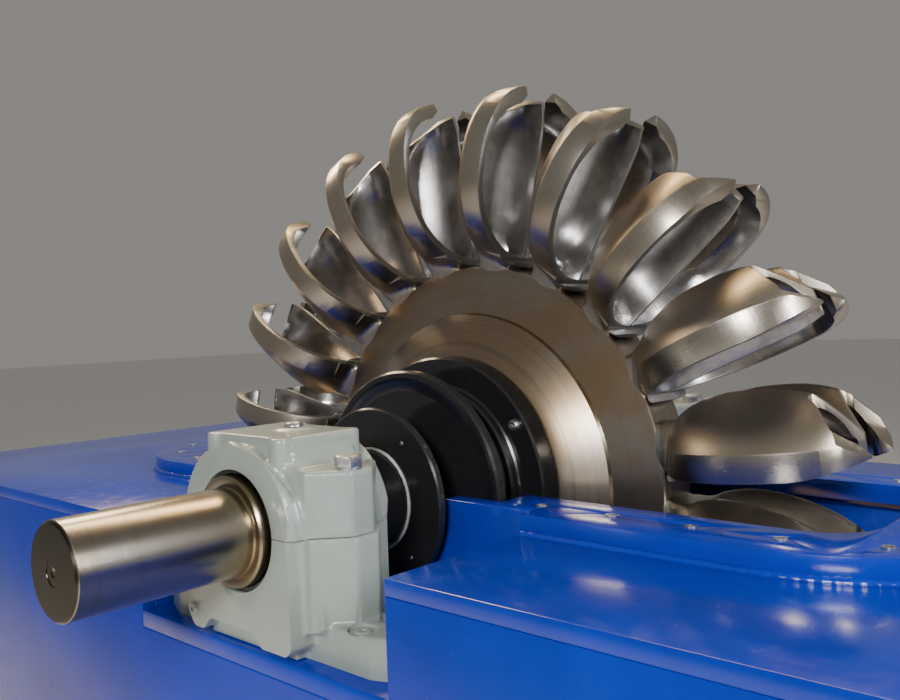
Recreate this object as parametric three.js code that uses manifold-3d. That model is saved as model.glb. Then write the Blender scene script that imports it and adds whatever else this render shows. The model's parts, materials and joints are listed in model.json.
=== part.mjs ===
// Horizontal Pelton runner on its shaft, in the open lower half of its housing, with two split bearing blocks.
// Millimetres, +Z up. The shaft lies along Y, the origin is on the floor under the middle of the wheel.
import * as THREE from "three";
import { mergeVertices } from "three/addons/utils/BufferGeometryUtils.js";
import Module from "manifold-3d";

// Shaft
const AXIS_HEIGHT = 900;
const SHAFT_END_Y = 737;
const EXTENSION_RADIUS = 56;
const JOURNAL_RADIUS = 70;
const JOURNAL_END_Y = 519;
const ROUND_SIDES = 24;
const FIT_GAP = 0.3;

// Wheel
const BUCKET_COUNT = 20;
const FIRST_BUCKET_DEG = 5.5;
const HUB_SIDES = 60;
const HUB_FACE_Y = 92;
const HUB_FACE_RADIUS = 197;
const HUB_STEP_RADIUS = 262;
const HUB_STEP_Y = 56;
const HUB_OUTER_RADIUS = 294;
const HUB_OUTER_Y = 37;
const DISC_HALF_WIDTH = 30;
const DISC_SEAT_RADIUS = 338;

// Bucket, in its own frame: X outward from the shaft, Y along the shaft, Z towards its domed back
const RIM_CENTRE_X = 488;
const RIM_TO_TIP = 131;
const RIM_TO_ROOT = 143;
const RIM_HALF_WIDTH = 138;
const RIM_WALL = 10;
const TIP_POWER = 2.6;
const ROOT_POWER = 2;
const BOWL_CENTRE = [482, 66];
const BOWL_OVERLAP = 12;
const BOWL_DEPTH = 108;
const CUP_DEPTH = 97;
const BAND_WIDTH = 33;
const SPLITTER_HALF_THICKNESS = 2.5;
const STEM_FOOT_HALF_WIDTH = 38;
const STEM_FOOT_Z = [4, 72];
const STEM_HEAD_X = 430;
const STEM_HEAD_HALF_WIDTHS = [52, 44];
const STEM_HEAD_Z = [12, 88];
const NOTCH_MOUTH = [612, 46];
const NOTCH_CORNER = [562, 88];
const NOTCH_BENDS = [[594, 50], [551, 60]];
const SPLITTER_TIP_X = 598;

// Discs and flanges on the shaft, near faces measured out from the middle of the wheel
const CLAMP_RADIUS = 196;
const CLAMP_Y = [92.3, 127];
const COLLAR_RADIUS = 139;
const COLLAR_END_Y = 189.7;
const SLINGER_RADIUS = 180;
const SLINGER_Y = [190, 206];
const SLINGER_RIM = 12;
const SLINGER_DISH = 6;
const SEAL_DISC_RADIUS = 131;
const SEAL_DISC_Y = [260, 272];

// Housing, heights measured from the shaft axis
const BASE_HALF_LENGTH = 1245;
const BASE_HALF_WIDTH = 498;
const PLATE = 20;
const FLANGE_TOP = 7;
const FLANGE_THICKNESS = 26;
const FLANGE_HALF_WIDTH = 261;
const FLANGE_ARC_X = 552;
const PIT_HALF_WIDTH = 158;
const PIT_HALF_LENGTH = 642;
const PIT_CORNER = 70;
const RECESS_HALF_WIDTH = 258;
const SHELF_TOP = -152;
const SHELF_THICKNESS = 25;
const WALL_Y = [213, 242];
const WALL_HALF_LENGTH = 700;
const SHAFT_CUTOUT_RADIUS = 112;
const DISC_CUTOUT_HALF_WIDTH = 192;
const BOTTOM_PLATE = 16;

// Bearing block, in its own frame: X along the foot, Y along the shaft, Z up from the shaft axis
const BLOCK_Y = 428;
const BOSS_RADIUS = 106;
const BOSS_HALF_LENGTH = 81;
const FOOT_HALF_LENGTH = 252;
const FOOT_HALF_WIDTH = 43;
const FOOT_CORNER = [51, 20];
const FOOT_THICKNESS = 48;
const LUG_END = [152, 17];
const LUG_ROOT = [114, 60];
const LUG_TOP = 80;
const HOOD_RADIUS = 115;
const CROWN_HALF_LENGTH = 80;
const CROWN_HALF_WIDTH = 66;
const CROWN_TOP = 118;
const CROWN_CHAMFER = 6;
const COLUMN_FOOT = 12;
const BORE_RADIUS = 77;
const RING_RADIUS = 92;
const RING_HALF_WIDTH = 32;

const wasm = await Module();
wasm.setup();

const blue = new THREE.MeshStandardMaterial({ color: 0x0a3fc4, roughness: 0.25, metalness: 0.1 });
const black = new THREE.MeshStandardMaterial({ color: 0x0a0a0c, roughness: 0.25, metalness: 0.2 });
const green = new THREE.MeshStandardMaterial({ color: 0xb4bcab, roughness: 0.35, metalness: 0.1 });
const steel = new THREE.MeshStandardMaterial({ color: 0xb9b4ab, roughness: 0.25, metalness: 0.95 });
const ground = new THREE.MeshStandardMaterial({ color: 0xa7a097, roughness: 0.3, metalness: 0.9 });

const part = new THREE.Group();

function add(name, geometry, material, place = {}) {
  const mesh = new THREE.Mesh(geometry, material);
  mesh.name = name;
  mesh.position.set(...(place.at ?? [0, 0, 0]));
  mesh.rotation.y = place.turnY ?? 0;
  part.add(mesh);
}

// A closed body of a geometry's faces, which are turned outwards where a mirrored outline left them inwards.
function solid(geometry) {
  const bare = geometry.clone();
  bare.deleteAttribute("normal");
  bare.deleteAttribute("uv");
  const merged = mergeVertices(bare, 1e-3);
  const vertProperties = new Float32Array(merged.attributes.position.array);
  const triVerts = new Uint32Array(merged.index.array);
  const body = new wasm.Manifold(new wasm.Mesh({ numProp: 3, vertProperties, triVerts }));
  if (body.volume() > 0) {
    return body;
  }
  return new wasm.Manifold(new wasm.Mesh({ numProp: 3, vertProperties, triVerts: triVerts.reverse() }));
}

function geometryOf(body) {
  const mesh = body.getMesh();
  const geometry = new THREE.BufferGeometry();
  geometry.setAttribute("position", new THREE.BufferAttribute(mesh.vertProperties, 3));
  geometry.setIndex(new THREE.BufferAttribute(mesh.triVerts, 1));
  geometry.computeVertexNormals();
  return geometry;
}

function box([x0, x1], [y0, y1], [z0, z1]) {
  const geometry = new THREE.BoxGeometry(x1 - x0, y1 - y0, z1 - z0);
  return geometry.translate((x0 + x1) / 2, (y0 + y1) / 2, (z0 + z1) / 2);
}

// A closed outline in X and Y, pushed along Z.
function alongZ(shape, [z0, z1], curveSegments = 10) {
  const geometry = new THREE.ExtrudeGeometry(shape, { depth: z1 - z0, bevelEnabled: false, curveSegments });
  return geometry.translate(0, 0, z0);
}

// A closed outline in X and Z, pushed along Y.
function alongY(shape, [y0, y1]) {
  return alongZ(shape, [0, y1 - y0]).rotateX(Math.PI / 2).translate(0, y1, 0);
}

function outline(points) {
  return new THREE.Shape(points.map(([a, b]) => new THREE.Vector2(a, b)));
}

// A body turned about the shaft: pairs of radius and distance along Y, closed on themselves.
function turned(pairs, sides = ROUND_SIDES) {
  const profile = [...pairs, pairs[0]].map(([radius, y]) => new THREE.Vector2(radius, y));
  return geometryOf(solid(new THREE.LatheGeometry(profile, sides)));
}

// The radius whose flats, with the given number of sides, stay clear of a round body of this radius.
function around(radius, sides = ROUND_SIDES) {
  return (radius + FIT_GAP) / Math.cos(Math.PI / sides);
}

function cylinderY(radius, [y0, y1], sides = ROUND_SIDES) {
  return new THREE.CylinderGeometry(radius, radius, y1 - y0, sides).translate(0, (y0 + y1) / 2, 0);
}

function addShaft() {
  const chamfer = 3;
  const half = [
    [JOURNAL_RADIUS, JOURNAL_END_Y - chamfer],
    [JOURNAL_RADIUS - chamfer, JOURNAL_END_Y],
    [EXTENSION_RADIUS, JOURNAL_END_Y],
    [EXTENSION_RADIUS, SHAFT_END_Y - chamfer],
    [EXTENSION_RADIUS - chamfer, SHAFT_END_Y],
    [0, SHAFT_END_Y],
  ];
  const mirrored = half.map(([radius, y]) => [radius, -y]).reverse();
  const profile = [...mirrored, ...half].map(([radius, y]) => new THREE.Vector2(radius, y));
  add("shaft", new THREE.LatheGeometry(profile, ROUND_SIDES), steel, { at: [0, 0, AXIS_HEIGHT] });
}

function addHub() {
  const bore = around(JOURNAL_RADIUS);
  const half = [
    [DISC_SEAT_RADIUS / Math.cos(Math.PI / HUB_SIDES), DISC_HALF_WIDTH],
    [HUB_OUTER_RADIUS, DISC_HALF_WIDTH],
    [HUB_OUTER_RADIUS, HUB_OUTER_Y],
    [HUB_STEP_RADIUS, HUB_STEP_Y],
    [HUB_FACE_RADIUS, HUB_FACE_Y],
    [bore, HUB_FACE_Y],
  ];
  const mirrored = half.map(([radius, y]) => [radius, -y]).reverse();
  // a flat of the rim lies square across the root of each bucket
  const turn = -THREE.MathUtils.degToRad(FIRST_BUCKET_DEG) + Math.PI / 2 - Math.PI / HUB_SIDES;
  const disc = turned([...mirrored, ...half], HUB_SIDES);
  add("runner_disc", disc, ground, { at: [0, 0, AXIS_HEIGHT], turnY: turn });
}

// Half of a bucket's rim seen from the open side, from the tip round to the root, then back along the middle.
function rimPoints(inset, middle, arcSteps, middleSteps) {
  const points = [];
  for (let i = 0; i <= arcSteps; i++) {
    const angle = (Math.PI * i) / arcSteps;
    const towardsTip = Math.cos(angle) >= 0;
    const power = 2 / (towardsTip ? TIP_POWER : ROOT_POWER);
    const reach = (towardsTip ? RIM_TO_TIP : RIM_TO_ROOT) - inset;
    const x = Math.sign(Math.cos(angle)) * reach * Math.abs(Math.cos(angle)) ** power;
    const y = (RIM_HALF_WIDTH - inset) * Math.sin(angle) ** power;
    points.push([RIM_CENTRE_X + x, Math.max(y, middle)]);
  }
  const [tipX] = points[0];
  const [rootX] = points[arcSteps];
  for (let i = 1; i < middleSteps; i++) {
    points.push([rootX + ((tipX - rootX) * i) / middleSteps, middle]);
  }
  return points;
}

// A closed bowl: rings of the rim drawn in towards its centre as they rise, with a flat lid below.
function bowl(rim, rings, top, side) {
  const [cx, cy] = BOWL_CENTRE;
  const count = rim.length;
  const positions = [];
  for (const [share, z] of rings) {
    for (const [x, y] of rim) {
      positions.push(cx + (x - cx) * share, side * (cy + (y - cy) * share), z);
    }
  }
  const lid = positions.length / 3;
  positions.push(cx, side * cy, rings[0][1]);
  positions.push(cx, side * cy, top);
  const faces = [];
  for (let j = 0; j < count; j++) {
    const next = (j + 1) % count;
    faces.push(lid, next, j);
    for (let r = 0; r < rings.length - 1; r++) {
      const a = r * count;
      const b = a + count;
      faces.push(a + j, a + next, b + next, a + j, b + next, b + j);
    }
    const last = (rings.length - 1) * count;
    faces.push(last + j, last + next, lid + 1);
  }
  const geometry = new THREE.BufferGeometry();
  geometry.setAttribute("position", new THREE.Float32BufferAttribute(positions, 3));
  geometry.setIndex(faces);
  return solid(geometry);
}

// The gap that lets the jet past the lip: open at the tip, wider behind two hooked fingers, up to the splitter.
function notchBody() {
  const [mouthX, mouthY] = NOTCH_MOUTH;
  const [cornerX, cornerY] = NOTCH_CORNER;
  const [[outerX, outerY], [innerX, innerY]] = NOTCH_BENDS;
  const beyondX = RIM_CENTRE_X + RIM_TO_TIP + 30;
  const shape = new THREE.Shape();
  shape.moveTo(beyondX, -mouthY);
  shape.lineTo(beyondX, mouthY);
  shape.lineTo(mouthX, mouthY);
  shape.quadraticCurveTo(outerX, outerY, cornerX, cornerY);
  shape.quadraticCurveTo(innerX, innerY, SPLITTER_TIP_X, SPLITTER_HALF_THICKNESS);
  shape.lineTo(SPLITTER_TIP_X, -SPLITTER_HALF_THICKNESS);
  shape.quadraticCurveTo(innerX, -innerY, cornerX, -cornerY);
  shape.quadraticCurveTo(outerX, -outerY, mouthX, -mouthY);
  return solid(alongZ(shape, [-10, BOWL_DEPTH + 10], 3));
}

// The root of a bucket, a block that widens from its seat on the disc into the backs of the two cups.
function stemBody() {
  const seat = DISC_SEAT_RADIUS + FIT_GAP;
  const [footLow, footHigh] = STEM_FOOT_Z;
  const [headLow, headHigh] = STEM_HEAD_Z;
  const [lowHalf, highHalf] = STEM_HEAD_HALF_WIDTHS;
  const corners = [
    [seat, -STEM_FOOT_HALF_WIDTH, footLow],
    [seat, STEM_FOOT_HALF_WIDTH, footLow],
    [seat, STEM_FOOT_HALF_WIDTH, footHigh],
    [seat, -STEM_FOOT_HALF_WIDTH, footHigh],
    [STEM_HEAD_X, -lowHalf, headLow],
    [STEM_HEAD_X, lowHalf, headLow],
    [STEM_HEAD_X, highHalf, headHigh],
    [STEM_HEAD_X, -highHalf, headHigh],
  ];
  const quads = [
    [0, 1, 5, 4],
    [1, 2, 6, 5],
    [2, 3, 7, 6],
    [3, 0, 4, 7],
    [0, 3, 2, 1],
    [4, 5, 6, 7],
  ];
  const geometry = new THREE.BufferGeometry();
  geometry.setAttribute("position", new THREE.Float32BufferAttribute(corners.flat(), 3));
  geometry.setIndex(quads.flatMap(([a, b, c, d]) => [a, b, c, a, c, d]));
  return solid(geometry);
}

function bucketGeometry() {
  const outerRim = rimPoints(0, -BOWL_OVERLAP, 10, 2);
  const cupRim = rimPoints(RIM_WALL, SPLITTER_HALF_THICKNESS, 8, 2);
  const outerRings = [
    [1, 0],
    [0.985, BAND_WIDTH],
    [0.84, 0.7 * BOWL_DEPTH],
    [0.5, 0.94 * BOWL_DEPTH],
  ];
  const cupRings = [
    [1, -5],
    [0.97, BAND_WIDTH],
    [0.72, 0.8 * CUP_DEPTH],
  ];
  let body = stemBody();
  for (const side of [-1, 1]) {
    body = body.add(bowl(outerRim, outerRings, BOWL_DEPTH, side));
  }
  for (const side of [-1, 1]) {
    body = body.subtract(bowl(cupRim, cupRings, CUP_DEPTH, side));
  }
  return geometryOf(body.subtract(notchBody()));
}

function addBuckets() {
  const geometry = bucketGeometry();
  for (let i = 0; i < BUCKET_COUNT; i++) {
    const degrees = FIRST_BUCKET_DEG + (360 / BUCKET_COUNT) * i;
    const name = "bucket_" + String(i + 1).padStart(2, "0");
    add(name, geometry, ground, { at: [0, 0, AXIS_HEIGHT], turnY: -THREE.MathUtils.degToRad(degrees) });
  }
}

function addShaftDiscs() {
  const bore = around(JOURNAL_RADIUS);
  for (const [side, y] of [
    ["near", -1],
    ["far", 1],
  ]) {
    const placed = (pairs) => turned(pairs.map(([radius, distance]) => [radius, y * distance]));
    const clamp = [
      [CLAMP_RADIUS, CLAMP_Y[0]],
      [CLAMP_RADIUS, CLAMP_Y[1]],
      [COLLAR_RADIUS, CLAMP_Y[1]],
      [COLLAR_RADIUS, COLLAR_END_Y],
      [bore, COLLAR_END_Y],
      [bore, CLAMP_Y[0]],
    ];
    const slinger = [
      [SLINGER_RADIUS, SLINGER_Y[0]],
      [SLINGER_RADIUS, SLINGER_Y[1]],
      [SLINGER_RADIUS - SLINGER_RIM, SLINGER_Y[1]],
      [SLINGER_RADIUS - SLINGER_RIM - SLINGER_DISH, SLINGER_Y[1] - SLINGER_DISH],
      [bore, SLINGER_Y[1] - SLINGER_DISH],
      [bore, SLINGER_Y[0]],
    ];
    const seal = [
      [SEAL_DISC_RADIUS, SEAL_DISC_Y[0]],
      [SEAL_DISC_RADIUS, SEAL_DISC_Y[1]],
      [bore, SEAL_DISC_Y[1]],
      [bore, SEAL_DISC_Y[0]],
    ];
    const at = [0, 0, AXIS_HEIGHT];
    add("clamp_flange_" + side, placed(clamp), black, { at });
    add("slinger_" + side, placed(slinger), black, { at });
    add("seal_disc_" + side, placed(seal), black, { at });
  }
}

function boreBody() {
  const through = solid(cylinderY(BORE_RADIUS, [-BOSS_HALF_LENGTH - 5, BOSS_HALF_LENGTH + 5]));
  const seatHalf = RING_HALF_WIDTH + FIT_GAP;
  return through.add(solid(cylinderY(around(RING_RADIUS), [-seatHalf, seatHalf])));
}

// A bar along X whose four upright corners are cut off between an end point and a root point.
function wingBody([endX, endY], [rootX, rootY], zRange) {
  const shape = outline([
    [-endX, -endY],
    [-rootX, -rootY],
    [rootX, -rootY],
    [endX, -endY],
    [endX, endY],
    [rootX, rootY],
    [-rootX, rootY],
    [-endX, endY],
  ]);
  return solid(alongZ(shape, zRange));
}

// The lower half of a bearing block: a foot, a column under the boss, and a lug each side for the cap's bolts.
function blockBase() {
  const footEnd = [FOOT_HALF_LENGTH, FOOT_HALF_WIDTH - FOOT_CORNER[1]];
  const footRoot = [FOOT_HALF_LENGTH - FOOT_CORNER[0], FOOT_HALF_WIDTH];
  const foot = wingBody(footEnd, footRoot, [SHELF_TOP, SHELF_TOP + FOOT_THICKNESS]);
  const columnY = [-BOSS_HALF_LENGTH, BOSS_HALF_LENGTH];
  const column = box([-BOSS_RADIUS, BOSS_RADIUS], columnY, [SHELF_TOP + COLUMN_FOOT, 0]);
  const lugs = wingBody(LUG_END, LUG_ROOT, [SHELF_TOP + FOOT_THICKNESS / 2, 0]);
  const body = foot.add(solid(column)).add(lugs);
  return geometryOf(body.subtract(boreBody()));
}

// The upper half: the round boss in a wider hood, with a square crown over it and the lugs that its bolts go through.
function blockCap() {
  const boss = solid(cylinderY(BOSS_RADIUS, [-BOSS_HALF_LENGTH, BOSS_HALF_LENGTH]));
  const hood = solid(cylinderY(HOOD_RADIUS, [-LUG_ROOT[1], LUG_ROOT[1]]));
  const crown = outline([
    [-CROWN_HALF_LENGTH, 0],
    [CROWN_HALF_LENGTH, 0],
    [CROWN_HALF_LENGTH, CROWN_TOP - CROWN_CHAMFER],
    [CROWN_HALF_LENGTH - CROWN_CHAMFER, CROWN_TOP],
    [CROWN_CHAMFER - CROWN_HALF_LENGTH, CROWN_TOP],
    [-CROWN_HALF_LENGTH, CROWN_TOP - CROWN_CHAMFER],
  ]);
  const square = solid(alongY(crown, [-CROWN_HALF_WIDTH, CROWN_HALF_WIDTH]));
  const beyond = 2 * LUG_END[0];
  const below = box([-beyond, beyond], [-beyond, beyond], [-beyond, 0]);
  const body = boss.add(hood).add(square).add(wingBody(LUG_END, LUG_ROOT, [-1, LUG_TOP]));
  return geometryOf(body.subtract(boreBody()).subtract(solid(below)));
}

function addBearings() {
  const base = blockBase();
  const cap = blockCap();
  const bore = around(JOURNAL_RADIUS);
  const ring = turned([
    [bore, -RING_HALF_WIDTH],
    [RING_RADIUS, -RING_HALF_WIDTH],
    [RING_RADIUS, RING_HALF_WIDTH],
    [bore, RING_HALF_WIDTH],
  ]);
  for (const [side, y] of [
    ["near", -BLOCK_Y],
    ["far", BLOCK_Y],
  ]) {
    add("bearing_base_" + side, base, green, { at: [0, y, AXIS_HEIGHT] });
    add("bearing_cap_" + side, cap, green, { at: [0, y, AXIS_HEIGHT] });
    add("bearing_ring_" + side, ring, steel, { at: [0, y, AXIS_HEIGHT] });
  }
}

// One end of the cover flange, on the +X side: a wide U round the wheel pit.
function flangeShape() {
  const shape = new THREE.Shape();
  const inner = WALL_Y[0];
  shape.moveTo(DISC_CUTOUT_HALF_WIDTH, -inner);
  shape.lineTo(RECESS_HALF_WIDTH, -inner);
  shape.lineTo(RECESS_HALF_WIDTH, -FLANGE_HALF_WIDTH);
  shape.lineTo(FLANGE_ARC_X, -FLANGE_HALF_WIDTH);
  shape.absarc(FLANGE_ARC_X, 0, FLANGE_HALF_WIDTH, -Math.PI / 2, Math.PI / 2, false);
  shape.lineTo(RECESS_HALF_WIDTH, FLANGE_HALF_WIDTH);
  shape.lineTo(RECESS_HALF_WIDTH, inner);
  shape.lineTo(DISC_CUTOUT_HALF_WIDTH, inner);
  shape.lineTo(DISC_CUTOUT_HALF_WIDTH, PIT_HALF_WIDTH);
  const cornerX = PIT_HALF_LENGTH - PIT_CORNER;
  const cornerY = PIT_HALF_WIDTH - PIT_CORNER;
  shape.absarc(cornerX, cornerY, PIT_CORNER, Math.PI / 2, 0, true);
  shape.absarc(cornerX, -cornerY, PIT_CORNER, 0, -Math.PI / 2, true);
  shape.lineTo(DISC_CUTOUT_HALF_WIDTH, -PIT_HALF_WIDTH);
  return shape;
}

function deckShape() {
  return outline([
    [RECESS_HALF_WIDTH, -BASE_HALF_WIDTH],
    [BASE_HALF_LENGTH, -BASE_HALF_WIDTH],
    [BASE_HALF_LENGTH, BASE_HALF_WIDTH],
    [RECESS_HALF_WIDTH, BASE_HALF_WIDTH],
    [RECESS_HALF_WIDTH, WALL_Y[0]],
    [WALL_HALF_LENGTH, WALL_Y[0]],
    [WALL_HALF_LENGTH, -WALL_Y[0]],
    [RECESS_HALF_WIDTH, -WALL_Y[0]],
  ]);
}

// A pit wall across the wheel, risen between the deck plates and cut out for the shaft.
function wallShape(deckUnder, top) {
  const shape = new THREE.Shape();
  shape.moveTo(-WALL_HALF_LENGTH, BOTTOM_PLATE);
  shape.lineTo(WALL_HALF_LENGTH, BOTTOM_PLATE);
  shape.lineTo(WALL_HALF_LENGTH, deckUnder);
  shape.lineTo(RECESS_HALF_WIDTH, deckUnder);
  shape.lineTo(RECESS_HALF_WIDTH, top);
  shape.lineTo(SHAFT_CUTOUT_RADIUS, top);
  shape.absarc(0, AXIS_HEIGHT, SHAFT_CUTOUT_RADIUS, 0, Math.PI, true);
  shape.lineTo(-SHAFT_CUTOUT_RADIUS, top);
  shape.lineTo(-RECESS_HALF_WIDTH, top);
  shape.lineTo(-RECESS_HALF_WIDTH, deckUnder);
  shape.lineTo(-WALL_HALF_LENGTH, deckUnder);
  return shape;
}

function mirroredX(geometry) {
  return geometryOf(solid(geometry.clone().scale(-1, 1, 1)));
}

function addHousing() {
  const flangeTop = AXIS_HEIGHT + FLANGE_TOP;
  const deckTop = flangeTop - FLANGE_THICKNESS;
  const deckUnder = deckTop - PLATE;
  const shelfTop = AXIS_HEIGHT + SHELF_TOP;
  const shelfUnder = shelfTop - SHELF_THICKNESS;
  const frontY = [BASE_HALF_WIDTH - PLATE, BASE_HALF_WIDTH];

  const flange = alongZ(flangeShape(), [deckTop, flangeTop]);
  const deck = alongZ(deckShape(), [deckUnder, deckTop]);
  add("cover_flange_right", flange, blue);
  add("cover_flange_left", mirroredX(flange), blue);
  add("deck_right", deck, blue);
  add("deck_left", mirroredX(deck), blue);

  const bottom = outline([
    [-BASE_HALF_LENGTH, -BASE_HALF_WIDTH],
    [BASE_HALF_LENGTH, -BASE_HALF_WIDTH],
    [BASE_HALF_LENGTH, BASE_HALF_WIDTH],
    [-BASE_HALF_LENGTH, BASE_HALF_WIDTH],
  ]);
  const tailrace = [
    [-WALL_HALF_LENGTH, -WALL_Y[0]],
    [-WALL_HALF_LENGTH, WALL_Y[0]],
    [WALL_HALF_LENGTH, WALL_Y[0]],
    [WALL_HALF_LENGTH, -WALL_Y[0]],
  ];
  bottom.holes.push(new THREE.Path(tailrace.map(([x, y]) => new THREE.Vector2(x, y))));
  add("bottom_plate", alongZ(bottom, [0, BOTTOM_PLATE]), blue);

  const front = outline([
    [-BASE_HALF_LENGTH, BOTTOM_PLATE],
    [BASE_HALF_LENGTH, BOTTOM_PLATE],
    [BASE_HALF_LENGTH, deckUnder],
    [RECESS_HALF_WIDTH, deckUnder],
    [RECESS_HALF_WIDTH, shelfUnder],
    [-RECESS_HALF_WIDTH, shelfUnder],
    [-RECESS_HALF_WIDTH, deckUnder],
    [-BASE_HALF_LENGTH, deckUnder],
  ]);
  const endY = [-frontY[0], frontY[0]];
  for (const [side, x] of [
    ["left", -1],
    ["right", 1],
  ]) {
    const endX = [x * (BASE_HALF_LENGTH - PLATE), x * BASE_HALF_LENGTH].sort((a, b) => a - b);
    const pitX = [x * WALL_HALF_LENGTH, x * (WALL_HALF_LENGTH + PLATE)].sort((a, b) => a - b);
    add("end_plate_" + side, box(endX, endY, [BOTTOM_PLATE, deckUnder]), blue);
    add("pit_end_" + side, box(pitX, [-WALL_Y[1], WALL_Y[1]], [BOTTOM_PLATE, deckUnder]), blue);
  }
  for (const [side, y] of [
    ["near", -1],
    ["far", 1],
  ]) {
    const plateY = [y * frontY[0], y * frontY[1]].sort((a, b) => a - b);
    const wallY = [y * WALL_Y[0], y * WALL_Y[1]].sort((a, b) => a - b);
    const shelfY = [y * WALL_Y[1], y * frontY[1]].sort((a, b) => a - b);
    const cheekY = [y * WALL_Y[1], y * frontY[0]].sort((a, b) => a - b);
    add("side_plate_" + side, alongY(front, plateY), blue);
    add("pit_wall_" + side, alongY(wallShape(deckUnder, flangeTop), wallY), blue);
    const shelfX = [-RECESS_HALF_WIDTH, RECESS_HALF_WIDTH];
    add("bearing_shelf_" + side, box(shelfX, shelfY, [shelfUnder, shelfTop]), blue);
    for (const [end, x] of [
      ["left", -1],
      ["right", 1],
    ]) {
      const cheekX = [x * RECESS_HALF_WIDTH, x * (RECESS_HALF_WIDTH + PLATE)].sort((a, b) => a - b);
      add(`recess_cheek_${side}_${end}`, box(cheekX, cheekY, [shelfUnder, deckUnder]), blue);
    }
  }
}

addShaft();
addHub();
addBuckets();
addShaftDiscs();
addBearings();
addHousing();

export default part;
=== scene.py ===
import json
import math

import bmesh
import bpy
from mathutils import Matrix, Vector


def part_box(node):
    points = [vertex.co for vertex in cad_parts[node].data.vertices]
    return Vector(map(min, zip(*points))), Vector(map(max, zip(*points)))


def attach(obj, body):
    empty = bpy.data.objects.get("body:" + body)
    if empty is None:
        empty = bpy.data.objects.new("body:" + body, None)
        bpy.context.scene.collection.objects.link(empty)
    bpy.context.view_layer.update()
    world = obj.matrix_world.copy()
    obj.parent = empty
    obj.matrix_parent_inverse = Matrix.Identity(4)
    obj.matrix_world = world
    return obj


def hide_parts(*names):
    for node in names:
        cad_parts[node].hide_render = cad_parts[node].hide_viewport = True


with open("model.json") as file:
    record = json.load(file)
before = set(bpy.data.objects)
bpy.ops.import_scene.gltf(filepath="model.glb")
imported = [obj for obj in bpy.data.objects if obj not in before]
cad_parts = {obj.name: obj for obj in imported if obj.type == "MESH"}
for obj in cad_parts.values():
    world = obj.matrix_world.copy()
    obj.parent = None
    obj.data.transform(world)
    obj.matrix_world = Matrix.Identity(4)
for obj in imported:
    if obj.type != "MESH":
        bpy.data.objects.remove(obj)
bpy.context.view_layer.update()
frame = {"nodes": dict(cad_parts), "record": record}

FULL_TURN = 2 * math.pi
SIDES = (("near", -1), ("far", 1))


def span(node, axis):
    """Lowest and highest value of a node along X, Y or Z (0, 1 or 2)."""
    low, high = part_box(node)
    return low[axis], high[axis]


# Sizes that the model gives
AXIS = sum(span("shaft", 2)) / 2
SHAFT_END = span("shaft", 1)[1]
JOURNAL_RADIUS = span("shaft", 0)[1]
HUB_FACE = span("runner_disc", 1)[1]
DISC_RADIUS = span("runner_disc", 0)[1]
CLAMP_RADIUS = span("clamp_flange_far", 0)[1]
COLLAR_END = span("clamp_flange_far", 1)[1]
SLINGER_RADIUS = span("slinger_far", 0)[1]
SLINGER_Y = span("slinger_far", 1)
SEAL_RADIUS = span("seal_disc_far", 0)[1]
SEAL_Y = span("seal_disc_far", 1)
BLOCK_Y = sum(span("bearing_cap_far", 1)) / 2
SHELF_TOP = span("bearing_shelf_far", 2)[1]
FLANGE_TOP = span("cover_flange_right", 2)[1]
FLANGE_START = span("cover_flange_right", 0)[0]
FLANGE_HALF_WIDTH = span("cover_flange_right", 1)[1]
DECK_TOP = span("deck_right", 2)[1]
RECESS_HALF = span("deck_right", 0)[0]
WALL_Y = span("pit_wall_far", 1)

# Shaft and hub, read from the photograph
EXTENSION_RADIUS = 0.056
JOURNAL_END = 0.519
ENAMEL_END = 0.3370
HUB_FACE_RADIUS = 0.197
HUB_STEP_RADIUS, HUB_STEP_Y = 0.262, 0.056
DISC_FACE_Y = 0.037
CLAMP_THICKNESS = 0.0347
COLLAR_RADIUS = 0.139
CLAMP_BOLT_CIRCLE = 0.178
SEAL_SCREW_CIRCLE = 0.104

# Buckets: the first stands FIRST_BUCKET from +X, and each rim is measured from RIM_CENTRE outwards
BUCKETS = 20
BUCKET_STEP = FULL_TURN / BUCKETS
FIRST_BUCKET = math.radians(5.5)
RIM_CENTRE = 0.488
RIM_TO_TIP = 0.131
RIM_TO_ROOT = 0.143
RIM_HALF_WIDTH = 0.138
RIM_WALL = 0.0095
BAND = 0.033
BACK_DEPTH = 0.108
CUP_DEPTH = 0.096
BOWL_CENTRE = (0.4815, 0.047)
STEM_ROOM = 0.058
STEM_FOOT = 0.300

# Cover flange
FLANGE_ARC = 0.552
HOLE_ARC = 0.570
HOLE_ROW = 0.2035
HOLE_PITCH = 0.107


# Modelling by hand


def deselect():
    bpy.ops.object.select_all(action="DESELECT")


def activate(piece):
    deselect()
    piece.select_set(True)
    bpy.context.view_layer.objects.active = piece


def named(name):
    """The primitive just added, named, with its place in its mesh."""
    piece = bpy.context.object
    piece.name = piece.data.name = name
    bpy.ops.object.transform_apply(location=True, rotation=True, scale=True)
    return piece


def block(name, low, high):
    deselect()
    low, high = Vector(low), Vector(high)
    bpy.ops.mesh.primitive_cube_add(size=1, location=(low + high) / 2, scale=high - low)
    return named(name)


def rod(name, radius, start, end, sides=48, tip=None):
    """A round bar between two points, tapered to another radius where tip gives one."""
    deselect()
    start, end = Vector(start), Vector(end)
    along = end - start
    turn = along.to_track_quat("Z", "Y").to_euler()
    bpy.ops.mesh.primitive_cone_add(
        vertices=sides, radius1=radius, radius2=radius if tip is None else tip,
        depth=along.length, location=(start + end) / 2, rotation=turn)
    return named(name)


def pin(name, radius, place, low, high, sides=48, tip=None):
    """An upright rod at a place in X and Y, between two heights."""
    return rod(name, radius, (*place, low), (*place, high), sides, tip)


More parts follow.
